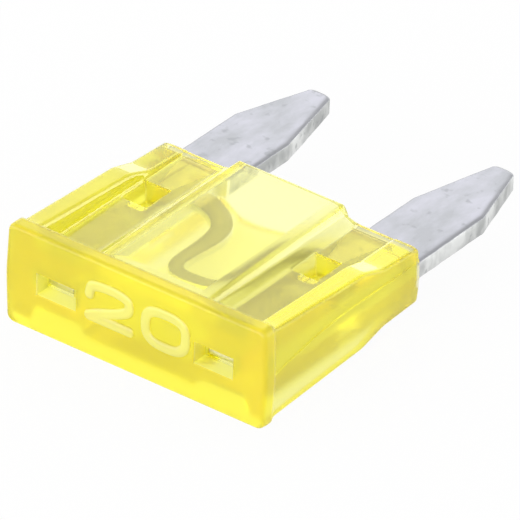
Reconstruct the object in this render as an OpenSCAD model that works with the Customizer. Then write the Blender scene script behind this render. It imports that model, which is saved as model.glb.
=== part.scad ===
// Small plug-in blade fuse: a clear plastic housing over a stamped metal element.
// It lies on one of its two large faces, with the head towards -Y and the blades towards +Y.

/* [Blades] */
// Width of each blade
blade_w = 2.62; // [2:0.05:3.2]
// Thickness of the strip that the blades are cut from
blade_t = 0.72; // [0.5:0.02:1.2]
// Distance between the middles of the two blades
blade_pitch = 7.88; // [7.5:0.02:9]
// Length of blade that stands out of the housing
blade_out = 6.85; // [5:0.05:9]
// Length of the tapered end of each blade
taper_l = 3.5; // [2:0.1:4.5]
// Width of a blade across its tip
tip_w = 1; // [0.8:0.05:1.5]
// Radius on the corners of the tip
tip_r = 0.25; // [0.1:0.05:0.35]
// Thickness of the tip, where both faces are pressed in for the lead-in
tip_t = 0.6; // [0.5:0.02:0.7]
// Length of the pressed lead-in
lead_l = 3; // [1:0.1:3.5]
// Width of the neck, the narrower part of each blade inside the body
neck_w = 1.5; // [1.35:0.05:1.7]
// How far the left neck starts outwards of its blade's inner edge
neck_step = 0.4; // [0.1:0.05:0.45]

/* [Fusible link] */
// Thickness of the link, which is thinned from the strip
link_t = 0.3; // [0.15:0.05:0.45]
// Width of the link around its bends
link_w = 0.54; // [0.3:0.02:0.7]
// Width of the broad leg that joins the left blade
leg_w = 0.76; // [0.5:0.02:0.9]
// How far the broad leg leans to the right
leg_lean = 0.12; // [0:0.02:0.3]
// Distance from the left foot's middle to the broad leg's knee
knee_l = 1.2; // [0.8:0.05:1.4]
// Corner that is cut off each knee
knee_w = 0.45; // [0.2:0.05:0.6]
// Gap from the inside of the front wall to the link's lowest bend
link_gap = 1.5; // [0.8:0.05:1.8]
// Inside radius of the tight bend below the broad leg
bend_tight_r = 0.4; // [0.2:0.05:0.5]
// Inside radius of the open bend below the right leg
bend_open_r = 0.85; // [0.6:0.05:0.95]
// Distance of the tight bend's centre to the left of the middle
bend_tight_x = 0.3; // [0.1:0.02:0.6]
// Distance of the open bend's centre to the right of the middle
bend_open_x = 0.2; // [0:0.02:0.3]
// Place of the left foot's middle, from the open end of the body
foot_left_y = 1.3; // [1:0.05:1.8]
// Place of the right foot's middle, from the open end of the body
foot_right_y = 1.95; // [1.5:0.05:2.4]
// Width of each foot where it meets its blade
foot_w = 0.9; // [0.6:0.05:1.1]

/* [Body] */
// Length of the body, from the head's face to the open end
body_l = 8.7; // [8:0.05:10.5]
// Plastic over and under each blade
floor_t = 0.67; // [0.4:0.01:0.9]
// Plastic beside the outer edge of each blade, at the parting line
side_wall = 0.15; // [0.1:0.01:0.5]
// Draft of the sides, from the parting line to the top of a rail
side_draft = 0.11; // [0:0.01:0.14]
// Clearance of the blades in their slots
slot_gap = 0.03; // [0.01:0.01:0.06]

/* [Side rails] */
// Width of the top of each rail
rail_w = 0.7; // [0.4:0.02:0.8]
// Run of the rail's inner slope
rail_run = 0.25; // [0.1:0.01:0.4]
// Height of a rail over the recess, at the head
rail_h = 0.68; // [0.55:0.01:0.75]
// Height of a rail over the recess, just before its ramp
rail_mid_h = 0.43; // [0.3:0.01:0.5]
// Height of a rail over the recess, at the foot of its ramp
rail_low_h = 0.1; // [0.05:0.01:0.2]
// Distance from the head's face to the start of the ramp
ramp_y = 5.6; // [5:0.1:6.5]
// Length of the ramp
ramp_l = 1.1; // [0.8:0.1:1.4]

/* [Centre panel] */
// Width of the panel's top
panel_w = 4.4; // [3.8:0.02:4.5]
// Run of the steep wall on each side of the panel
panel_run = 0.2; // [0.1:0.02:0.3]
// Run of the gentle slope at the foot of that wall
foot_run = 0.38; // [0.2:0.02:0.4]
// Height of the gentle slope
foot_h = 0.12; // [0.05:0.01:0.2]
// Height of the panel over the recess, at the head
panel_h = 0.42; // [0.38:0.01:0.48]
// Height of the panel over the recess, at the open end
panel_back_h = 0.5; // [0.49:0.01:0.56]
// Radius on the panel's edge at the open end
panel_r = 0.22; // [0.1:0.02:0.3]

/* [Head] */
// Thickness of the head plate, along the fuse
head_l = 0.6; // [0.4:0.05:0.9]
// How far the head plate stands out over the rails
head_lip = 0.2; // [0.1:0.01:0.4]
// How far the head plate stands out past the sides
head_side_lip = 0.05; // [0.04:0.01:0.3]
// How far each end of the head plate leans in, from its middle to its corners
head_bow = 0.1; // [0:0.01:0.13]
// Radius on the corners of the head plate
head_corner_r = 0.3; // [0.15:0.05:0.5]
// Radius on the edges around the head's face
head_edge_r = 0.18; // [0.1:0.02:0.25]

/* [Test windows] */
// Width of each window
window_w = 1.57; // [1:0.01:1.8]
// Height of each window
window_h = 0.78; // [0.4:0.01:0.78]
// Distance of a window's middle from the middle of the head
window_x = 3.28; // [3.1:0.02:3.5]
// Depth from the head's face to the end of the blade
window_depth = 0.62; // [0.5:0.01:0.9]

/* [Inside] */
// Thickness of the front wall between the slots
front_wall = 1.35; // [1.1:0.05:2]
// Plastic over the cavity, at the open end
panel_wall = 0.54; // [0.5:0.01:0.7]
// Run of the sloped side of the cavity
cavity_run = 0.9; // [0.7:0.02:1.1]
// Length of each slot's mouth, where it takes the whole width of the blade
mouth_l = 0.9; // [0.6:0.05:1.2]
// How much higher the mouth is than the slot, on each side
mouth_h = 0.1; // [0.05:0.01:0.2]

/* [Stakes] */
// Width of the hole in each blade
hole_w = 0.86; // [0.7:0.02:1]
// Length of the hole in each blade
hole_l = 1.4; // [1.2:0.05:1.6]
// Radius on the hole's corners
hole_r = 0.2; // [0.15:0.05:0.3]
// Distance from the head's face to the middle of the hole
hole_y = 5.5; // [5.2:0.05:5.8]
// Clearance of the plastic stake in the hole
stake_gap = 0.04; // [0.02:0.01:0.08]
// Width of the pit that the staking punch leaves, at its mouth
pit_w = 1.12; // [1:0.02:1.2]
// Length of the pit at its mouth
pit_l = 1.36; // [1.2:0.02:1.4]
// Run of each side of the pit, from its mouth to its floor
pit_run = 0.3; // [0.25:0.01:0.35]
// Depth of the pit
pit_d = 0.66; // [0.55:0.01:0.7]

/* [Rating figures] */
// Height of the raised figures
figure_h = 1.7; // [1.4:0.05:2]
// Width of each figure
figure_w = 2.1; // [1.6:0.05:2.1]
// Width of the figures' strokes
stroke_w = 0.42; // [0.3:0.02:0.46]
// Radius on the outside of the figures
figure_r = 0.7; // [0.5:0.05:0.8]
// Gap between the two figures
figure_gap = 0.25; // [0.2:0.01:0.3]
// How far the figures' middle lies to the right
figure_x = 0.14; // [0:0.02:0.14]
// How far the figures stand out of the head's face
figure_t = 0.08; // [0.05:0.01:0.15]
// How far the figures' middle lies above the parting line
figure_z = 0.35; // [0:0.05:0.4]

/* [Hidden] */
$fn = 48;

// Distances from the middle of the fuse, across it
blade_in = blade_pitch / 2 - blade_w / 2;
blade_edge = blade_pitch / 2 + blade_w / 2;
body_hw = blade_edge + slot_gap + side_wall;
rail_in = body_hw - side_draft - rail_w;
rail_foot = rail_in - rail_run;
right_neck = blade_in;
left_neck = blade_in + neck_step;
head_hw = body_hw + head_side_lip;

// Distances from the parting line, up and down
slot_hh = blade_t / 2 + slot_gap;
slab_hh = slot_hh + floor_t;
rail_hh = slab_hh + rail_h;
panel_hh = slab_hh + panel_h;
panel_back_hh = slab_hh + panel_back_h;
cavity_hh = panel_back_hh - panel_wall;
head_hh = rail_hh + head_lip;

// The side leans in evenly from the parting line
side_lean = side_draft / rail_hh;
slab_hw = body_hw - side_lean * slab_hh;

// Distances along the fuse, from the head's face
blade_start = window_depth + slot_gap;
blade_end = body_l + blade_out;
link_low = front_wall + link_gap;
shoulder_y = body_l - mouth_l;
fuse_l = figure_t + blade_end;

// Spare length on cuts that open a face
over = 1;

// An outline drawn in X and Z, carried from y0 to y1
module along_y(y0, y1) {
  translate([0, y1, 0]) rotate([90, 0, 0]) linear_extrude(y1 - y0) children();
}

// An outline drawn in Y and Z, carried across the fuse to a half width
module across_x(half) {
  translate([-half, 0, 0]) rotate([90, 0, 90]) linear_extrude(2 * half) children();
}

// An outline drawn in X and Y, with a thickness about the parting line
module plate(t) {
  translate([0, 0, -t / 2]) linear_extrude(t) children();
}

// The same on both sides of the middle
module both_sides() {
  children();
  mirror([1, 0, 0]) children();
}

// The same on both large faces
module both_faces() {
  children();
  mirror([0, 0, 1]) children();
}

// A rectangle about the middle, with round corners
module round_rect(w, l, r) {
  square([w - 2 * r, l], center = true);
  square([w, l - 2 * r], center = true);
  for (x = [-1, 1], y = [-1, 1])
    translate([x * (w / 2 - r), y * (l / 2 - r)]) circle(r);
}

// A quarter of a ring, from the direction a0 on, with inner radius r
module ring_quarter(r, w, a0) {
  reach = 2 * (r + w);
  intersection() {
    difference() {
      circle(r + w);
      circle(r);
    }
    rotate(a0) square(reach);
  }
}

// ---- Housing ----

// The head plate has leaning ends, round corners and a round edge to its face
module head_plate() {
  corner = head_hw - head_bow;
  intersection() {
    along_y(0, head_l) intersection() {
      round_rect(2 * head_hw, 2 * head_hh, head_corner_r);
      polygon([[-head_hw, 0], [-corner, head_hh], [corner, head_hh],
               [head_hw, 0], [corner, -head_hh], [-corner, -head_hh]]);
    }
    across_x(head_hw) face_edge(head_hh);
    translate([0, 0, -head_hh]) linear_extrude(2 * head_hh) rotate(90) face_edge(head_hw);
  }
}

// Section of the head plate: its face is at 0, and both edges of the face are round
module face_edge(half) {
  translate([head_edge_r, -half]) square([head_l - head_edge_r, 2 * half]);
  translate([0, -half + head_edge_r]) square([head_l, 2 * (half - head_edge_r)]);
  for (side = [-1, 1])
    translate([head_edge_r, side * (half - head_edge_r)]) circle(head_edge_r);
}

// The slab that carries the floors of the recesses
module slab() {
  along_y(head_l / 2, body_l)
    polygon([[-body_hw, 0], [-slab_hw, slab_hh], [slab_hw, slab_hh],
             [body_hw, 0], [slab_hw, -slab_hh], [-slab_hw, -slab_hh]]);
}

// A rail along the right side, which ramps down before the open end
module rail() {
  top = body_hw - side_draft;
  intersection() {
    along_y(head_l / 2, body_l)
      polygon([[rail_foot, slab_hh], [rail_in, rail_hh], [top, rail_hh], [body_hw, 0],
               [top, -rail_hh], [rail_in, -rail_hh], [rail_foot, -slab_hh]]);
    across_x(body_hw) {
      polygon([[0, rail_hh], [head_l, rail_hh],
               [ramp_y, slab_hh + rail_mid_h],
               [ramp_y + ramp_l, slab_hh + rail_low_h],
               [body_l, slab_hh], [body_l, -slab_hh],
               [ramp_y + ramp_l, -slab_hh - rail_low_h],
               [ramp_y, -slab_hh - rail_mid_h],
               [head_l, -rail_hh], [0, -rail_hh]]);
    }
  }
}

// The raised panel over the cavity, with a round back edge
module centre_panel() {
  intersection() {
    along_y(head_l / 2, body_l) panel_section();
    across_x(body_hw) {
      polygon([[0, panel_hh], [head_l, panel_hh], [body_l - panel_r, panel_back_hh],
               [body_l - panel_r, -panel_back_hh], [head_l, -panel_hh], [0, -panel_hh]]);
      translate([body_l - 2 * panel_r, -panel_back_hh + panel_r])
        square([2 * panel_r, 2 * (panel_back_hh - panel_r)]);
      for (side = [-1, 1])
        translate([body_l - panel_r, side * (panel_back_hh - panel_r)]) circle(panel_r);
    }
  }
}

// Section of the panel: steep walls that end in a gentle slope down to the recess
module panel_section() {
  top = panel_w / 2;
  wall = top + panel_run;
  foot = wall + foot_run;
  low = slab_hh + foot_h;
  high = max(panel_hh, panel_back_hh);
  polygon([[-foot, slab_hh], [-wall, low], [-top, high], [top, high], [wall, low], [foot, slab_hh],
           [foot, -slab_hh], [wall, -low], [top, -high], [-top, -high], [-wall, -low],
           [-foot, -slab_hh]]);
}

// The slot that takes a blade: narrow for its neck, then a wide and higher mouth
module blade_slot(neck_in) {
  mouth_hh = slot_hh + mouth_h;
  translate([neck_in - slot_gap, window_depth, -slot_hh])
    cube([neck_w + 2 * slot_gap, body_l - window_depth, 2 * slot_hh]);
  translate([blade_in - slot_gap, shoulder_y, -mouth_hh])
    cube([blade_w + 2 * slot_gap, mouth_l + over, 2 * mouth_hh]);
}

// The window through which the end of the right blade can be probed
module test_window() {
  translate([window_x - window_w / 2, -over, -window_h / 2])
    cube([window_w, over + window_depth + slot_gap, window_h]);
}

// The cavity around the link, open at the back, with sloped sides
module cavity() {
  left = cavity_run - left_neck;
  right = right_neck - cavity_run;
  along_y(front_wall, body_l + over)
    polygon([[-left_neck, slot_hh], [left, cavity_hh], [right, cavity_hh], [right_neck, slot_hh],
             [right_neck, -slot_hh], [right, -cavity_hh], [left, -cavity_hh],
             [-left_neck, -slot_hh]]);
}

// The middle of the hole in a neck
module at_hole(neck_in) {
  translate([neck_in + neck_w / 2, hole_y, 0]) children();
}

// The plastic that is pressed through the hole in a neck
module stake(neck_in) {
  at_hole(neck_in)
    plate(2 * slot_hh + floor_t)
      round_rect(hole_w - 2 * stake_gap, hole_l - 2 * stake_gap, hole_r - stake_gap);
}

// The pit that the punch leaves in the floor of a recess, over a hole
module stake_pit(neck_in) {
  reach = pit_d + over;
  at_hole(neck_in) translate([0, 0, slab_hh - pit_d]) intersection() {
    along_y(-reach, reach) pit_section(pit_w / 2, reach);
    across_x(reach) pit_section(pit_l / 2, reach);
  }
}

// Section of the pit, whose sides go on leaning outwards above its mouth
module pit_section(half, reach) {
  low = half - pit_run;
  high = low + pit_run * reach / pit_d;
  polygon([[-low, 0], [low, 0], [high, reach], [-high, reach]]);
}

// The figure 0, drawn with its lower left corner at the origin
module figure_zero() {
  translate([figure_w / 2, figure_h / 2]) difference() {
    round_rect(figure_w, figure_h, figure_r);
    round_rect(figure_w - 2 * stroke_w, figure_h - 2 * stroke_w, figure_r - stroke_w / 2);
  }
}

// The figure 2, drawn the same way: a hook, a slope and a foot in one outline
module figure_two() {
  hook = figure_h - 1.5 * stroke_w;
  polygon([[0, 0], [figure_w, 0], [figure_w, stroke_w], [2.5 * stroke_w, stroke_w],
           [figure_w, hook], [figure_w, figure_h - figure_r / 2],
           [figure_w - figure_r / 2, figure_h], [figure_r / 2, figure_h],
           [0, figure_h - figure_r / 2], [0, hook], [stroke_w, hook],
           [stroke_w, figure_h - stroke_w], [figure_w - stroke_w, figure_h - stroke_w],
           [figure_w - stroke_w, hook], [0, stroke_w]]);
}

// The rating, raised on the head's face
module rating() {
  row_w = 2 * figure_w + figure_gap;
  along_y(-figure_t, head_l / 2) translate([figure_x - row_w / 2, figure_z - figure_h / 2]) {
    figure_two();
    translate([figure_w + figure_gap, 0]) figure_zero();
  }
}

module housing() {
  color("gold", 0.6) translate([0, figure_t - fuse_l / 2, head_hh]) {
    difference() {
      union() {
        head_plate();
        slab();
        both_sides() rail();
        centre_panel();
        rating();
      }
      blade_slot(right_neck);
      mirror([1, 0, 0]) blade_slot(left_neck);
      both_sides() test_window();
      cavity();
      both_faces() stake_pit(right_neck);
      both_faces() mirror([1, 0, 0]) stake_pit(left_neck);
    }
    difference() {
      stake(right_neck);
      both_faces() stake_pit(right_neck);
    }
    mirror([1, 0, 0]) difference() {
      stake(left_neck);
      both_faces() stake_pit(left_neck);
    }
  }
}

// ---- Fuse element ----

// Outline of a blade, from inside the head to the tip
module blade_outline(neck_in) {
  full_y = shoulder_y + slot_gap;
  taper_y = blade_end - taper_l;
  tip_y = blade_end - tip_r;
  round_x = tip_w / 2 - tip_r;
  translate([neck_in, blade_start]) square([neck_w, taper_y - blade_start]);
  translate([blade_pitch / 2, 0]) {
    translate([-blade_w / 2, full_y]) square([blade_w, taper_y - full_y]);
    polygon([[-blade_w / 2, taper_y], [blade_w / 2, taper_y],
             [tip_w / 2, tip_y], [-tip_w / 2, tip_y]]);
    translate([-round_x, tip_y - tip_r]) square([2 * round_x, 2 * tip_r]);
    for (side = [-1, 1]) translate([side * round_x, tip_y]) circle(tip_r);
  }
}

// Side view of the blades: full thickness, then pressed thinner at the tips
module blade_profile() {
  polygon([[0, blade_t / 2], [blade_end - lead_l, blade_t / 2], [blade_end, tip_t / 2],
           [blade_end, -tip_t / 2], [blade_end - lead_l, -blade_t / 2], [0, -blade_t / 2]]);
}

// A blade with the hole that its stake passes through
module blade(neck_in) {
  intersection() {
    plate(blade_t) difference() {
      blade_outline(neck_in);
      at_hole(neck_in) round_rect(hole_w, hole_l, hole_r);
    }
    across_x(blade_edge) blade_profile();
  }
}

// The link: down a broad leg from the left blade, around two bends, up to the right blade
module link_outline() {
  tight_y = link_low + link_w + bend_tight_r;
  open_y = link_low + link_w + bend_open_r;
  leg_x = -bend_tight_x - bend_tight_r;
  knee_x = leg_x + leg_lean;
  right_x = bend_open_x + bend_open_r;
  left_y = body_l - foot_left_y;
  right_y = body_l - foot_right_y;
  translate([-bend_tight_x, tight_y]) ring_quarter(bend_tight_r, link_w, 180);
  translate([bend_open_x, open_y]) ring_quarter(bend_open_r, link_w, 270);
  translate([-bend_tight_x, link_low]) square([bend_tight_x + bend_open_x, link_w]);
  polygon([[leg_x - link_w, tight_y], [leg_x, tight_y], [knee_x, left_y - knee_l],
           [knee_x - knee_w, left_y - knee_w], [-left_neck, left_y + foot_w / 2],
           [-left_neck, left_y - foot_w / 2], [knee_x - leg_w, left_y - knee_l - knee_w]]);
  polygon([[right_x, open_y], [right_x + link_w, open_y],
           [right_x + link_w, right_y - foot_w], [right_neck, right_y - foot_w / 2],
           [right_neck, right_y + foot_w / 2], [right_x, right_y - knee_w]]);
}

module fuse_element() {
  color("silver") translate([0, figure_t - fuse_l / 2, head_hh]) {
    blade(right_neck);
    mirror([1, 0, 0]) blade(left_neck);
    plate(link_t) link_outline();
  }
}

housing();
fuse_element();
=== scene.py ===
import math

import bmesh
import bpy
from mathutils import Matrix, Vector, noise


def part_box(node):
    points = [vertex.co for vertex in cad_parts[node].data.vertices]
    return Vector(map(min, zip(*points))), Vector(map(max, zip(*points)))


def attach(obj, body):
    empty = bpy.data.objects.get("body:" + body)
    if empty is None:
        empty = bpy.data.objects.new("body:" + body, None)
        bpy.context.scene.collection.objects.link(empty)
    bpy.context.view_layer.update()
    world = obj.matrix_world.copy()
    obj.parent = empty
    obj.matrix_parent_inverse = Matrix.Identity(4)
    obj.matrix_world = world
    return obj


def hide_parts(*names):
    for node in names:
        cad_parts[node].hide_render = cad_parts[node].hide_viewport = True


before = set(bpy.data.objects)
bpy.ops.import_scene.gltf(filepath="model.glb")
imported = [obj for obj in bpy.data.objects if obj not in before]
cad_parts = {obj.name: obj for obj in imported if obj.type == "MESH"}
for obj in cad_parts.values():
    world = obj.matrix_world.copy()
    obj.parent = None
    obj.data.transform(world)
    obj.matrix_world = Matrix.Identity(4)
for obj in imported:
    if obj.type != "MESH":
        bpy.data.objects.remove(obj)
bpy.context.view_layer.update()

MM = 0.001
scene = bpy.context.scene
scene.view_settings.view_transform = "Standard"
scene.cycles.max_bounces = 64
scene.cycles.transmission_bounces = 64
scene.cycles.glossy_bounces = 64

# ---- Camera ----
# A long lens to the right of the head, which looks down on it and along the blades from 0.33 m.
# It leans a little to one side, and is shifted so that the fuse fills the frame.
azimuth = math.radians(36.0)
elevation = math.radians(32.19)
roll = math.radians(2.03)
aim = Vector((0, -1.735, 1.9)) * MM
reach = 326.3 * MM
level = math.cos(elevation)
towards = Vector((math.sin(azimuth) * level, -math.cos(azimuth) * level, math.sin(elevation)))
lens = bpy.data.cameras.new("camera")
lens.sensor_width = 36
lens.lens = 673.5
lens.shift_x = 0.0325
lens.shift_y = -0.0124
lens.clip_start = 0.01
lens.clip_end = 10
camera = bpy.data.objects.new("camera", lens)
aimed = towards.to_track_quat("Z", "Y").to_matrix().to_4x4()
camera.matrix_world = Matrix.Translation(aim + towards * reach) @ aimed @ Matrix.Rotation(roll, 4, "Z")
scene.collection.objects.link(camera)
scene.camera = camera

# ---- Table top ----
# A sheet of white paper. What is seen of it, directly, in a reflection or through the plastic, is nearly
# all its own glow, and it sends on light as matt paper does, so the fuse keeps a soft shadow on it.
floor_half = 0.6
glow_share = 0.95


def fill(tree, socket, value):
    """A socket's own value, or a link into it."""
    if isinstance(value, bpy.types.NodeSocket):
        tree.links.new(value, socket)
    else:
        socket.default_value = value


def arithmetic(tree, operation, *values):
    """One step of arithmetic on one or two values."""
    step = tree.nodes.new("ShaderNodeMath")
    step.operation = operation
    for socket, value in zip(step.inputs, values):
        fill(tree, socket, value)
    return step.outputs[0]


def as_seen(tree):
    """1 for what is seen directly, in a reflection or through the plastic, and 0 for all other light."""
    ray = tree.nodes.new("ShaderNodeLightPath")
    either = arithmetic(tree, "MAXIMUM", ray.outputs["Is Camera Ray"], ray.outputs["Is Glossy Ray"])
    return arithmetic(tree, "MAXIMUM", either, ray.outputs["Is Transmission Ray"])


def mixed_shader(tree, share, first, second, end):
    """The first shader turned into the second by a share, and sent to the surface of an output."""
    mix = tree.nodes.new("ShaderNodeMixShader")
    tree.links.new(share, mix.inputs["Fac"])
    tree.links.new(first.outputs[0], mix.inputs[1])
    tree.links.new(second.outputs[0], mix.inputs[2])
    tree.links.new(mix.outputs[0], end.inputs["Surface"])


sheet = bpy.data.meshes.new("floor")
corners = [(x * floor_half, y * floor_half, 0) for x, y in ((-1, -1), (1, -1), (1, 1), (-1, 1))]
sheet.from_pydata(corners, [], [(0, 1, 2, 3)])
floor = bpy.data.objects.new("floor", sheet)
scene.collection.objects.link(floor)
paper = bpy.data.materials.new("table_white")
paper.use_nodes = True
tree = paper.node_tree
tree.nodes.clear()
card = tree.nodes.new("ShaderNodeBsdfDiffuse")
card.inputs["Color"].default_value = (0.9, 0.9, 0.9, 1)
glow = tree.nodes.new("ShaderNodeEmission")
glow.inputs["Color"].default_value = (1, 1, 1, 1)
glow.inputs["Strength"].default_value = 1.0
share = arithmetic(tree, "MULTIPLY", as_seen(tree), glow_share)
mixed_shader(tree, share, card, glow, tree.nodes.new("ShaderNodeOutputMaterial"))
paper.cycles.emission_sampling = "NONE"
floor.data.materials.append(paper)

# ---- Sky ----
# An even white surround. It lights the fuse a little less than it shows,
# so that the lamps can model the edges.
sky = bpy.data.worlds.new("sky")
scene.world = sky
sky.use_nodes = True
tree = sky.node_tree
tree.nodes.clear()
light = tree.nodes.new("ShaderNodeBackground")
light.inputs["Color"].default_value = (1, 1, 1, 1)
light.inputs["Strength"].default_value = 0.7
plain = tree.nodes.new("ShaderNodeBackground")
plain.inputs["Color"].default_value = (1, 1, 1, 1)
plain.inputs["Strength"].default_value = 1.0
mixed_shader(tree, as_seen(tree), light, plain, tree.nodes.new("ShaderNodeOutputWorld"))

# ---- Lamps ----
# Soft boxes all round the table. The low ones shine through the clear plastic from every side,
# the back one lies in the mirror direction of the blades, and the overhead one softens the shadow.


def soft_lamp(name, place, wide, tall, power):
    """A soft box at a place in metres, facing the fuse."""
    lamp = bpy.data.lights.new(name, "AREA")
    lamp.shape = "RECTANGLE"
    lamp.size = wide
    lamp.size_y = tall
    lamp.energy = power
    lamp_object = bpy.data.objects.new(name, lamp)
    turn = Vector(place).to_track_quat("Z", "Y").to_matrix().to_4x4()
    lamp_object.matrix_world = Matrix.Translation(Vector(place)) @ turn
    scene.collection.objects.link(lamp_object)


soft_lamp("overhead_lamp", (-0.06, 0.05, 0.14), 0.12, 0.12, 0.02)
soft_lamp("back_lamp", (-0.127, 0.175, 0.125), 0.3, 0.15, 0.1)
soft_lamp("low_lamp", (-0.147, 0.201, 0.022), 0.5, 0.04, 0.1)
soft_lamp("left_lamp", (-0.2, -0.146, 0.035), 0.4, 0.07, 0.26)
soft_lamp("right_lamp", (0.2, 0.146, 0.035), 0.4, 0.07, 0.26)
soft_lamp("front_lamp", (0.03, -0.25, 0.06), 0.3, 0.1, 0.46)

# ---- Fuse element ----
# One strip of rolled zinc alloy, stamped into two blades with a thin bent link between them.
# The die rolls the upper edges over and leaves the sheared sides streaked; the tips are pressed
# thinner as a lead-in, and each neck has a hole for the stake that holds it in the housing.
low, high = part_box("housing")
figure_t = 0.08
head_hh = (high[2] - low[2]) / 2 / MM
head_y = low[1] / MM + figure_t
body_l = high[1] / MM - head_y
head_hw = high[0] / MM
# The strip: half its thickness, the necks' inner edges and width, and where the blades widen and end
strip_hh = 0.36
necks = {-1: 3.03, 1: 2.63}
neck_w = 1.5
shoulder = body_l - 0.14
tip_y = 15.35
blade_end = 15.55
# Each long edge of a blade: its place, where its taper starts, and its place at the tip
edges = {-1: ((-5.29, 12.5, -4.36), (-2.67, 12.1, -3.38)), 1: ((2.63, 12.0, 3.46), (5.2, 12.6, 4.41))}
lead_l = 3
roll_w = 0.27
wear_depth = 0.014
burr_depth = 0.02
# The holes for the stakes, and the link's half thickness and bends
stake_y = 5.5
hole_hw = 0.43
hole_hl = 0.7
link_hh = 0.15
tight_x, tight_y, tight_r = -0.3, 3.79, 0.68
open_x, open_y, open_r = 0.5, 4.24, 1.12


def at(x, y, h):
    """A place on the fuse in millimetres: across it, back from the head's face, up from the parting line."""
    return Vector((x, head_y + y, head_hh + h)) * MM


def skin(name, rings):
    """A closed shell through rings of places, with flat ends."""
    mesh = bpy.data.meshes.new(name)
    shell = bmesh.new()
    rows = [[shell.verts.new(place) for place in ring] for ring in rings]
    shell.faces.new(rows[0])
    shell.faces.new(rows[-1])
    for row, after in zip(rows, rows[1:]):
        for i in range(len(row)):
            shell.faces.new((row[i - 1], row[i], after[i], after[i - 1]))
    bmesh.ops.recalc_face_normals(shell, faces=shell.faces)
    shell.to_mesh(mesh)
    shell.free()
    piece = bpy.data.objects.new(name, mesh)
    scene.collection.objects.link(piece)
    return piece


def joined(piece, others, operation):
    """The piece with the others added to it or cut from it."""
    for other in others:
        step = piece.modifiers.new(operation, "BOOLEAN")
        step.operation = operation
        step.solver = "EXACT"
        step.object = other
        mesh = bpy.data.meshes.new_from_object(piece.evaluated_get(bpy.context.evaluated_depsgraph_get()))
        piece.modifiers.clear()
        piece.data = mesh
        bpy.data.objects.remove(other)
    return piece


def smooth_path(points, steps=6):
    """A smooth line through points."""
    ends = [points[0]] + points + [points[-1]]
    line = []
    for a, b, c, d in zip(ends, ends[1:], ends[2:], ends[3:]):
        for i in range(steps):
            t = i / steps
            line.append([0.5 * (2 * q + (r - p) * t + (2 * p - 5 * q + 4 * r - s) * t * t
                                + (3 * q - 3 * r + s - p) * t ** 3) for p, q, r, s in zip(a, b, c, d)])
    return line + [list(points[-1])]


def squared(turn, power):
    """A point on a unit circle that is pressed out towards a square; the lower the power, the squarer."""
    wide, tall = math.cos(turn), math.sin(turn)
    return math.copysign(abs(wide) ** power, wide), math.copysign(abs(tall) ** power, tall)


def plug(name, x, y, half_w, half_l, half_h):
    """An upright plug with rounded corners: a punch for a hole, or the stake that fills it."""
    corners = [squared(math.tau * i / 32, 0.45) for i in range(32)]
    outline = [(x + half_w * a, y + half_l * b) for a, b in corners]
    return skin(name, [[at(a, b, h) for a, b in outline] for h in (-half_h, half_h)])


def strip_ring(y, x0, x1, top, bottom, rolled):
    """Section of a blade with its upper edges rolled over, one of them further than the other."""
    ring = []
    corners = [(x1, top, rolled, 0.09, 0), (x1, bottom, 0.05, 0.05, 90),
               (x0, bottom, 0.05, 0.05, 180), (x0, top, 0.1, 0.07, 270)]
    for x, h, wide, tall, start in corners:
        for i in range(6):
            turn = math.radians(start + 18 * i)
            side = 1 if x == x1 else -1
            up = 1 if h == top else -1
            ring.append((x - side * wide + wide * math.sin(turn), h - up * tall + tall * math.cos(turn)))
    return [at(x, y, h) for x, h in ring]


def blade(side, count=90):
    """A blade from the blunt sheared end in its test window, through its neck, to the tip."""
    neck = sorted((side * necks[side], side * (necks[side] + neck_w)))
    stations = [(0.65, 0.31, -0.21), (0.67, 0.33, -0.27), (0.71, 0.35, -0.32), (0.78, 0.36, -0.35)]
    stations += [(y, strip_hh, -strip_hh) for y in (0.9, 3, 4.5, 6.5, shoulder - 0.06)]
    rings = [strip_ring(y, *neck, top, bottom, 0.12) for y, top, bottom in stations]
    for i in range(count + 1):
        y = shoulder + (blade_end - shoulder) * (1 - (1 - i / count) ** 1.35)
        end = max(0, y - tip_y) / (blade_end - tip_y)
        rounding = 0.2 * (1 - math.sqrt(max(0, 1 - end * end)))
        sides = []
        for number, (x, start, x_tip) in enumerate(edges[side]):
            taper = max(0, (y - start) / (tip_y - start))
            wear = wear_depth * noise.noise(Vector((y * 1.9, number * 7 + side * 3, 0.3)))
            inward = rounding if number == 0 else -rounding
            sides.append(x + (x_tip - x) * min(taper, 1) + wear + inward)
        thin = 0.008 * max(0, y - (blade_end - lead_l)) + 0.03 * end * end
        rolled = roll_w + 0.12 * noise.noise(Vector((y * 1.3, side * 5, 2.1)))
        burr = burr_depth * abs(noise.noise(Vector((y * 3.1, side * 4, 1.7))))
        rings.append(strip_ring(y, sides[0], sides[1], strip_hh - thin, -strip_hh + thin + burr,
                                min(rolled, (sides[1] - sides[0]) / 3)))
    return skin("blade", rings)


def link_ring(x, y, wide, ahead):
    """Section of the link across its path."""
    across = Vector((ahead[1], -ahead[0])).normalized()
    ring = []
    for u, h in ((-1, 1), (1, 1), (1, -1), (-1, -1)):
        rounded = ((0, 0.04), (0.012, 0.012), (0.04, 0))
        for off_u, off_h in rounded if u * h < 0 else reversed(rounded):
            out = u * (wide / 2 - off_u)
            ring.append(at(x + across.x * out, y + across.y * out, h * (link_hh - off_h)))
    return ring


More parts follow.
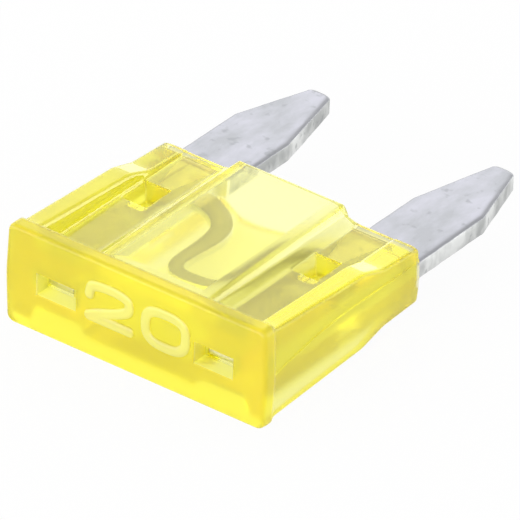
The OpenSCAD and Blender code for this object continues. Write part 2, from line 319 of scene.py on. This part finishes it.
# The link's route from the left neck to the right one: across, back and its width
route = [(-3.2, 7.45, 0.9), (-2.4, 7.25, 0.86), (-1.65, 6.85, 0.78), (-1.16, 6.35, 0.76),
         (-0.97, 5.75, 0.74), (-0.94, 5.0, 0.66), (-0.98, 4.35, 0.58)]
route += [(tight_x - tight_r * math.cos(t), tight_y - 0.67 * math.sin(t), 0.54) for t in (0.0, 0.5, 1.05)]
route += [(-0.25, 3.12, 0.54), (0.2, 3.12, 0.54), (open_x, 3.12, 0.54)]
route += [(open_x + open_r * math.sin(t), open_y - open_r * math.cos(t), 0.54) for t in (0.4, 0.8, 1.2)]
route += [(1.62, 4.3, 0.54), (1.64, 5.2, 0.54), (1.7, 5.85, 0.58),
          (1.95, 6.4, 0.74), (2.3, 6.65, 0.86), (2.9, 6.75, 0.9)]
path = smooth_path(route, 5)
rings = []
for i, (x, y, wide) in enumerate(path):
    before, after = path[max(i - 1, 0)], path[min(i + 1, len(path) - 1)]
    rings.append(link_ring(x, y, wide, (after[0] - before[0], after[1] - before[1])))
element = joined(blade(1), [blade(-1), skin("link", rings)], "UNION")
stakes = [(side * (neck + neck_w / 2), stake_y) for side, neck in necks.items()]
holes = [plug("hole", x, y, hole_hw, hole_hl, 0.6) for x, y in stakes]
element = joined(element, holes, "DIFFERENCE")
element.name = "zinc_element"
element.data.shade_smooth()
element.data.set_sharp_from_angle(angle=math.radians(40))
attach(element, "root")
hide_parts("fuse_element")


def new_shader(name):
    """A new material: itself, its node tree, its surface shader, and places on the piece as x, y, z."""
    material = bpy.data.materials.new(name)
    material.use_nodes = True
    tree = material.node_tree
    place = tree.nodes.new("ShaderNodeTexCoord").outputs["Object"]
    return material, tree, tree.nodes["Principled BSDF"], place


def split(tree, vector):
    """The three parts of a vector."""
    parts = tree.nodes.new("ShaderNodeSeparateXYZ")
    tree.links.new(vector, parts.inputs[0])
    return parts.outputs[0], parts.outputs[1], parts.outputs[2]


def ranged(tree, value, start, stop, first=0, last=1):
    """The first number where the value is at start, the last where it is at stop, and in step between."""
    step = tree.nodes.new("ShaderNodeMapRange")
    for name, number in (("From Min", start), ("From Max", stop), ("To Min", first), ("To Max", last)):
        step.inputs[name].default_value = number
    tree.links.new(value, step.inputs["Value"])
    return step.outputs[0]


def stretched(tree, place, scale):
    """Places drawn closer together or further apart along each axis."""
    scaled = tree.nodes.new("ShaderNodeMapping")
    scaled.inputs["Scale"].default_value = scale
    tree.links.new(place, scaled.inputs["Vector"])
    return scaled.outputs[0]


def mottle(tree, place, scale, detail, roughness=0.5):
    """Cloudy noise over the surface."""
    cloud = tree.nodes.new("ShaderNodeTexNoise")
    cloud.inputs["Scale"].default_value = scale
    cloud.inputs["Detail"].default_value = detail
    cloud.inputs["Roughness"].default_value = roughness
    tree.links.new(place, cloud.inputs["Vector"])
    return cloud.outputs["Fac"]


def graded(tree, value, start, first, stop, last):
    """The first colour where the value is at start, the last where it is at stop, and in step between."""
    ramp = tree.nodes.new("ShaderNodeValToRGB")
    ramp.color_ramp.elements[0].position = start
    ramp.color_ramp.elements[0].color = first
    ramp.color_ramp.elements[1].position = stop
    ramp.color_ramp.elements[1].color = last
    tree.links.new(value, ramp.inputs["Fac"])
    return ramp.outputs[0]


def blended(tree, share, first, second, how="MIX"):
    """The first colour turned into the second, or multiplied by it, by a share."""
    mix = tree.nodes.new("ShaderNodeMix")
    mix.data_type = "RGBA"
    mix.blend_type = how
    fill(tree, mix.inputs[0], share)
    fill(tree, mix.inputs[6], first)
    fill(tree, mix.inputs[7], second)
    return mix.outputs[2]


zinc, tree, shader, place = new_shader("rolled_zinc")
shader.inputs["Metallic"].default_value = 1
across, back, _ = split(tree, place)
_, turned_back, turned_up = split(tree, tree.nodes.new("ShaderNodeNewGeometry").outputs["Normal"])
upright = arithmetic(tree, "ABSOLUTE", turned_up)
# the rolled faces are mottled along the strip, and the sheared sides are paler, with streaks across it
cloud = mottle(tree, stretched(tree, place, (1, 0.45, 1)), 1100, 7, 0.62)
streak = mottle(tree, stretched(tree, place, (0.6, 1, 0.6)), 1100, 5)
face_tone = graded(tree, cloud, 0.36, (0.352, 0.36, 0.382, 1), 0.66, (0.462, 0.464, 0.512, 1))
shear_tone = graded(tree, streak, 0.4, (0.4, 0.41, 0.405, 1), 0.6, (0.68, 0.69, 0.68, 1))
tone = blended(tree, ranged(tree, upright, 0.35, 0.75), shear_tone, face_tone)
# painted shade: the rolled edges between the two are darkened, in patches, for the darker surroundings they
# would reflect
painted_edge_band = ranged(tree, upright, 0.9995, 0.96, 0, 0.75)
painted_upper_edge_shade = arithmetic(tree, "MULTIPLY", painted_edge_band, ranged(tree, turned_up, 0.2, 0.5))
painted_rim_shade = arithmetic(tree, "MULTIPLY", painted_upper_edge_shade, ranged(tree, cloud, 0.3, 0.6, 0.45, 1))
tone = blended(tree, painted_rim_shade, tone, (0.25, 0.255, 0.265, 1))
# a few dark scuffs
scuff = ranged(tree, mottle(tree, place, 2300, 2), 0.625, 0.72, 0, 0.5)
tone = blended(tree, scuff, tone, (0.25, 0.26, 0.27, 1))
# painted light within the housing: the faces are made brighter and warmer for the yellow light that comes
# through the plastic, the thin link is darker and yellower, and the sides and the underside are painted
# almost white, as painted light too
mouth_y = head_y + body_l
painted_light_inside = ranged(tree, back, (mouth_y + 0.02) * MM, (mouth_y - 0.06) * MM)
tone = blended(tree, painted_light_inside, tone, (1.45, 1.33, 0.86, 1), "MULTIPLY")
thin_part = ranged(tree, arithmetic(tree, "ABSOLUTE", across), 2.6 * MM, 2.4 * MM)
tone = blended(tree, thin_part, tone, (0.66, 0.66, 0.44, 1), "MULTIPLY")
# painted light: the sides and the underside inside the housing are painted almost white
painted_bright_sides = arithmetic(tree, "MULTIPLY", painted_light_inside, ranged(tree, turned_up, 0.8, 0.4))
tone = blended(tree, painted_bright_sides, tone, (0.93, 0.93, 0.92, 1))
# the sheared end in each window is pale, with painted shade round its rim for the shadow in the gap around
# it
end_zone = ranged(tree, back, (head_y + 1.1) * MM, (head_y + 0.9) * MM)
painted_end_shade = ranged(tree, turned_back, -0.85, -0.5)
end_tone = blended(tree, painted_end_shade, (0.78, 0.78, 0.75, 1), (0.1, 0.1, 0.07, 1))
tree.links.new(blended(tree, end_zone, tone, end_tone), shader.inputs["Base Color"])
tree.links.new(ranged(tree, cloud, 0, 1, 0.34, 0.5), shader.inputs["Roughness"])
dents = tree.nodes.new("ShaderNodeBump")
dents.inputs["Strength"].default_value = 0.6
dents.inputs["Distance"].default_value = 0.03 * MM
tree.links.new(cloud, dents.inputs["Height"])
tree.links.new(dents.outputs[0], shader.inputs["Normal"])
element.data.materials.clear()
element.data.materials.append(zinc)

# ---- Housing ----
# One moulding of clear yellow plastic: a body with two rails and a raised panel, and a head plate across
# its front. The mould's halves meet at a fine line along the sides. It is slid over the element and
# staked: a punch drives plastic from the floor of each recess down through the hole in the blade.
body_hw = head_hw - 0.05
side_draft = 0.063
slab_hh = 1.06
corner = 0.16
open_round = 0.2
head_fillet = 0.18
ledge_out = 0.03
# Heights of the panel and of a rail, from the head to the open end
panel_top = [(0, 1.48), (0.6, 1.48), (body_l, 1.56)]
rail_top = [(0, 1.74), (0.6, 1.74), (5.6, 1.49), (6.7, 1.16), (body_l, 1.06)]
# Across the body: the panel's steep side and its foot, and the inner side of a rail
panel_hw, panel_slope = 2.4, 1.9
foot_hw, foot_slope = 2.78, 0.32
rail_in, rail_slope = 4.37, 2.7
# The punched pits: half width, half length, depth, and slope and run of their walls
pit_hw, pit_hl, pit_depth = 0.56, 0.68, 0.66
pit_slope = 2.2
pit_run = 0.3


def along(line, y):
    """The height of a bent line at y."""
    for (y0, h0), (y1, h1) in zip(line, line[1:]):
        if y <= y1:
            return h0 + (h1 - h0) * (y - y0) / (y1 - y0)
    return line[-1][1]


def eased(line, y, reach=0.16):
    """The same with its bends rounded."""
    return sum(along(line, max(y + reach * step / 3, 0)) for step in range(-3, 4)) / 7


def soft_max(a, b, radius):
    """The larger of two heights, with a rounded hollow where they meet."""
    blend = max(radius - abs(a - b), 0) / radius
    return max(a, b) + blend * blend * radius / 4


def soft_min(a, b, radius):
    """The smaller of two heights, with a rounded edge where they meet."""
    return -soft_max(-a, -b, radius)


def body_height(x, y):
    """Height of the body's upper face: panel, recess, rail and punched pit, with soft edges between them."""
    out = abs(x)
    wall = slab_hh + 0.12 + (panel_hw - out) * panel_slope
    foot = slab_hh + (foot_hw - out) * foot_slope
    panel = soft_min(eased(panel_top, y), soft_max(wall, foot, 0.06), 0.16)
    rail = soft_min(eased(rail_top, y), slab_hh + (out - rail_in) * rail_slope, 0.2)
    height = soft_max(soft_max(slab_hh, panel, 0.04), rail, 0.1)
    for stake_x, stake_y in stakes:
        side = slab_hh + (abs(x - stake_x) - pit_hw) * pit_slope
        end = slab_hh + (abs(y - stake_y) - pit_hl) * pit_slope
        pit = soft_max(slab_hh - pit_depth, soft_max(side, end, 0.05), 0.1)
        height = soft_min(height, pit, 0.08)
    return height


def spread(places, first, last, step):
    """Lines from first to last: close together at each place where the surface bends, and wide between."""
    count = round((last - first) / step)
    lines = [first + (last - first) * i / count for i in range(count + 1)]
    for place in places:
        lines += [place + reach for reach in (-0.14, -0.09, -0.05, -0.02, 0.02, 0.05, 0.09, 0.14)]
    kept = [first]
    for line in sorted(lines):
        if line - kept[-1] > 0.012 and line < last:
            kept.append(line)
    return kept + [last]


def round_end(radius, steps=5):
    """Pairs of how far along and how far in, around the quarter of a circle that ends a form."""
    turns = [math.pi / 2 * i / steps for i in range(steps + 1)]
    return [(radius * math.sin(turn), radius * (1 - math.cos(turn))) for turn in turns]


# The body, ring by ring from inside the head plate to its open end
pit_lines = [x + d for x, _ in stakes for d in (-pit_hw, pit_run - pit_hw, pit_hw - pit_run, pit_hw)]
bends = [side * x for side in (-1, 1) for x in (2.24, panel_hw, foot_hw, rail_in, 4.6)]
columns = spread(pit_lines + bends, -5.08, 5.08, 0.5)
pit_rows = [stake_y + d for d in (-pit_hl, pit_run - pit_hl, pit_hl - pit_run, pit_hl)]
rows = spread([y for y, _ in rail_top[1:-1]] + pit_rows, 0.3, body_l - open_round, 0.4)
rows = [(y, 0) for y in rows[:-1]]
rows += [(body_l - open_round + run, inset) for run, inset in round_end(open_round)]
rings = []
for y, inset in rows:
    fillet = head_fillet - math.sqrt(max(0, head_fillet ** 2 - max(0, 0.78 - y) ** 2))
    edge_h = eased(rail_top, y) - inset + fillet
    edge_x = body_hw - side_draft * edge_h - inset - corner
    ledge = 0.6 - 0.027 * max(5 - y, 0) ** 2
    half = [(x, body_height(x, y) - inset + fillet) for x in columns]
    rounded = []
    for i in range(1, 7):
        turn = math.radians(86) * i / 6
        rounded.append((edge_x + corner * math.sin(turn), edge_h - corner + corner * math.cos(turn)))
    over = [(ledge + 0.05, 0), (ledge + 0.015, 0)]
    under = [(h, ledge_out) for h in (ledge - 0.015, ledge - 0.05, -0.05, -0.5)]
    right = rounded + [(body_hw - side_draft * abs(h) - inset + out, h) for h, out in over + under]
    right += [(x + ledge_out, -h) for x, h in reversed(rounded)]
    ring = half + [(edge_x, edge_h)] + right + [(edge_x, -edge_h)]
    ring += [(x, -h) for x, h in reversed(half)]
    ring += [(-x, h) for x, h in reversed(ring[len(half):len(ring) - len(half)])]
    rings.append([at(x, y, h) for x, h in ring])
housing = skin("housing_shell", rings)

# The head plate, whose ends bow out to the parting line
plate_round = 0.3
bow = 0.1


def plate_ring(y, inset):
    """Section of the head plate, drawn in by the inset."""
    tall = head_hh - inset
    radius = plate_round - inset
    side = []
    for i in range(9):
        turn = math.pi / 2 * i / 8
        h = tall - radius + radius * math.cos(turn)
        side.append((head_hw - bow - inset - radius + radius * math.sin(turn), h))
    bowed = []
    for x, h in side:
        fade = min(1, (tall - h) / radius)
        bowed.append((x + bow * (1 - math.hypot(h, 0.3) / head_hh) * fade, h))
    for h in (1.2, 0.8, 0.4, 0.15, 0, -0.15, -0.4, -0.8, -1.2):
        bowed.append((head_hw - bow * math.hypot(h, 0.3) / head_hh - inset, h))
    bowed += [(x, -h) for x, h in reversed(bowed[:9])]
    return [at(x, y, h) for x, h in bowed + [(-x, h) for x, h in reversed(bowed)]]


front = [(0.18 - run, inset) for run, inset in reversed(round_end(0.18))]
back = [(0.52 + run, inset) for run, inset in round_end(0.08)]
plate = skin("head_plate", [plate_ring(y, inset) for y, inset in front + back])

# The rating: plain raised figures with round strokes, on a patch that sinks into the head's face
stroke_hw = 0.24
sunk = 0.03
figure_h = 0.35
patch_left, patch_w, patch_low, patch_h = -2.16, 4.6, -0.6, 1.9


def distance(x, h, line):
    """How far a place on the head's face is from a line."""
    nearest = 9
    for (x0, h0), (x1, h1) in zip(line, line[1:]):
        run, rise = x1 - x0, h1 - h0
        t = max(0, min(1, ((x - x0) * run + (h - h0) * rise) / (run * run + rise * rise)))
        nearest = min(nearest, math.hypot(x - x0 - run * t, h - h0 - rise * t))
    return nearest


hook = [(-0.84, 0.2), (-0.74, 0.52), (-0.35, 0.64), (0.35, 0.64), (0.76, 0.5), (0.8, 0.15), (0.4, -0.12),
        (-0.4, -0.42), (-0.84, -0.64)]
two = smooth_path([(x - 1.035, h + figure_h) for x, h in hook]) + [[-0.19, -0.29]]
loop = [squared(math.tau * i / 40, 0.7) for i in range(41)]
zero = [[1.315 + 0.84 * a, figure_h + 0.64 * b] for a, b in loop]
rings = []
for i in range(121):
    x = patch_left + patch_w * i / 120
    ring = [(x, 0.2, patch_low + patch_h), (x, 0.2, patch_low)]
    for j in range(49):
        h = patch_low + patch_h * j / 48
        off = min(min(distance(x, h, two), distance(x, h, zero)) / stroke_hw, 1)
        ring.append((x, sunk - (figure_t + sunk) * (1 - off ** 3), h))
    rings.append([at(*place) for place in ring])
housing = joined(housing, [plate, skin("figures", rings)], "UNION")

# Inside: the slots, the cavity around the link and the test windows
slot_hh = 0.39
slot_gap = 0.03
cavity_front = 1.35
cavity_hh = 1.02
cavity_slope = 0.72


def passage(name, sections):
    """A straight-sided cutter through sections: y, the two sides and the half height."""
    rings = []
    for y, x0, x1, h in sections:
        rings.append([at(x0, y, h), at(x1, y, h), at(x1, y, -h), at(x0, y, -h)])
    return skin(name, rings)


def cavity_side(x):
    """Half height of the cavity where its roof slopes down to a neck."""
    return 0.37 + cavity_slope * min(x + necks[-1], necks[1] - x)


cutters = []
for side, neck in necks.items():
    slot_in, slot_out = neck - slot_gap, neck + neck_w + slot_gap
    slot = [(0.62, slot_in, slot_out, slot_hh), (shoulder, slot_in, slot_out, slot_hh)]
    mouth = [(shoulder - 0.05, 2.6, 5.28, 0.49), (body_l - 0.05, 2.6, 5.28, 0.49),
             (body_l + 0.01, 2.57, 5.31, 0.53), (body_l + 0.5, 2.57, 5.31, 0.53)]
    window = [(-0.5, 2.44, 4.12, 0.45), (0.0, 2.44, 4.12, 0.45), (0.03, 2.475, 4.085, 0.41),
              (0.08, 2.495, 4.065, 0.38), (0.64, 2.495, 4.065, 0.38)]
    for name, sections in (("slot", slot), ("mouth", mouth), ("window", window)):
        cutters.append(passage(name, [(y, side * x0, side * x1, h) for y, x0, x1, h in sections]))
arch = spread([0.9 - necks[-1], necks[1] - 0.9], -necks[-1], necks[1], 0.5)
roof = [soft_min(cavity_hh, cavity_side(x), 0.25) for x in arch]
rings = []
rounded = [(cavity_front + 0.3 - run, inset) for run, inset in reversed(round_end(0.3))]
for y, inset in rounded + [(body_l + 0.5, 0)]:
    upper = [(x * (1 - inset / 2.8), h - inset * h) for x, h in zip(arch, roof)]
    rings.append([at(x, y, h) for x, h in upper + [(x, -h) for x, h in reversed(upper)]])
cutters.append(skin("cavity", rings))
housing = joined(housing, cutters, "DIFFERENCE")

# The stakes: plastic that fills the hole in each blade
columns = [plug("stake", x, y, hole_hw - 0.04, hole_hl - 0.04, slot_hh + 0.005) for x, y in stakes]
housing = joined(housing, columns, "UNION")
housing.name = "clear_housing"
weld = bmesh.new()
weld.from_mesh(housing.data)
bmesh.ops.remove_doubles(weld, verts=weld.verts, dist=0.002 * MM)
weld.to_mesh(housing.data)
weld.free()
# The core pins leave dull faces around the cavity, the punch dulls its pits, and the windows are paler
core = housing.data.attributes.new("core", "FLOAT", "FACE")
opening = housing.data.attributes.new("window", "FLOAT", "FACE")
for face in housing.data.polygons:
    x, y, h = face.center.x / MM, face.center.y / MM - head_y, face.center.z / MM - head_hh
    hidden = abs(h) < min(cavity_hh + 0.01, cavity_side(x) + 0.03) and 0.7 < y < shoulder
    matt = h < -0.3 or (h > 0.42 and not -2.0 < x < 1.6)
    beside_stake = abs(y - stake_y) < pit_hl and min(abs(x - stake_x) for stake_x, _ in stakes) < pit_hw
    pit = 0.35 < h < 1.02 and beside_stake
    core.data[face.index].value = 1 if pit or (hidden and matt) else 0
    opening.data[face.index].value = 1 if 0.01 < y < 0.66 and abs(h) < 0.42 and 2.4 < abs(x) < 4.2 else 0
# Soft shading, with a crease only where two forms meet
housing.data.shade_smooth()
housing.data.set_sharp_from_angle(angle=math.radians(38))
even = housing.modifiers.new("even", "WEIGHTED_NORMAL")
even.keep_sharp = True
even.weight = 60
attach(housing, "root")
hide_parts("housing")


def marked(tree, name):
    """1 on the faces that carry a mark, 0 elsewhere."""
    mark = tree.nodes.new("ShaderNodeAttribute")
    mark.attribute_name = name
    return mark.outputs["Fac"]


clear, tree, shader, place = new_shader("clear_yellow_plastic")
shader.inputs["Base Color"].default_value = (1, 1, 1, 1)
shader.inputs["IOR"].default_value = 1.58
shader.inputs["Transmission Weight"].default_value = 1
across, back, _ = split(tree, place)
raised = ranged(tree, back, (head_y - 0.01) * MM, (head_y - 0.05) * MM)
# the head's face and the flanks are satin, the core pins' faces dull, and the rest polished
satin = ranged(tree, back, (head_y + 0.5) * MM, (head_y + 0.9) * MM, 0.42, 0.08)
flanks = ranged(tree, arithmetic(tree, "ABSOLUTE", across), 5.15 * MM, 5.3 * MM, 0, 0.4)
dull = arithmetic(tree, "MULTIPLY", marked(tree, "core"), 0.45)
finish = arithmetic(tree, "MAXIMUM", arithmetic(tree, "MAXIMUM", satin, flanks), dull)
sheen = tree.nodes.new("ShaderNodeMix")
tree.links.new(raised, sheen.inputs[0])
tree.links.new(finish, sheen.inputs[2])
sheen.inputs[3].default_value = 0.36
tree.links.new(sheen.outputs[0], shader.inputs["Roughness"])
# the head's face is a little cloudy, and the raised figures and the windows in it are frosted and paler
cloudy = ranged(tree, back, (head_y + 0.62) * MM, (head_y + 0.45) * MM)
lighter = arithmetic(tree, "MAXIMUM", raised, marked(tree, "window"))
haze = ranged(tree, cloudy, 0, 1, 1, 0.84)
bloom = ranged(tree, lighter, 0, 1, 1, 0.93)
tree.links.new(arithmetic(tree, "MULTIPLY", haze, bloom), shader.inputs["Transmission Weight"])
ripe = blended(tree, cloudy, (1, 1, 1, 1), (1, 0.91, 0.02, 1))
tree.links.new(blended(tree, lighter, ripe, (1, 0.99, 0.45, 1)), shader.inputs["Base Color"])
# the yellow is in the depth of the plastic
tint = tree.nodes.new("ShaderNodeVolumeAbsorption")
tint.inputs["Color"].default_value = (0.999, 0.983, 0.0, 1)
tint.inputs["Density"].default_value = 1300
tree.links.new(tint.outputs[0], tree.nodes["Material Output"].inputs["Volume"])
housing.data.materials.clear()
housing.data.materials.append(clear)
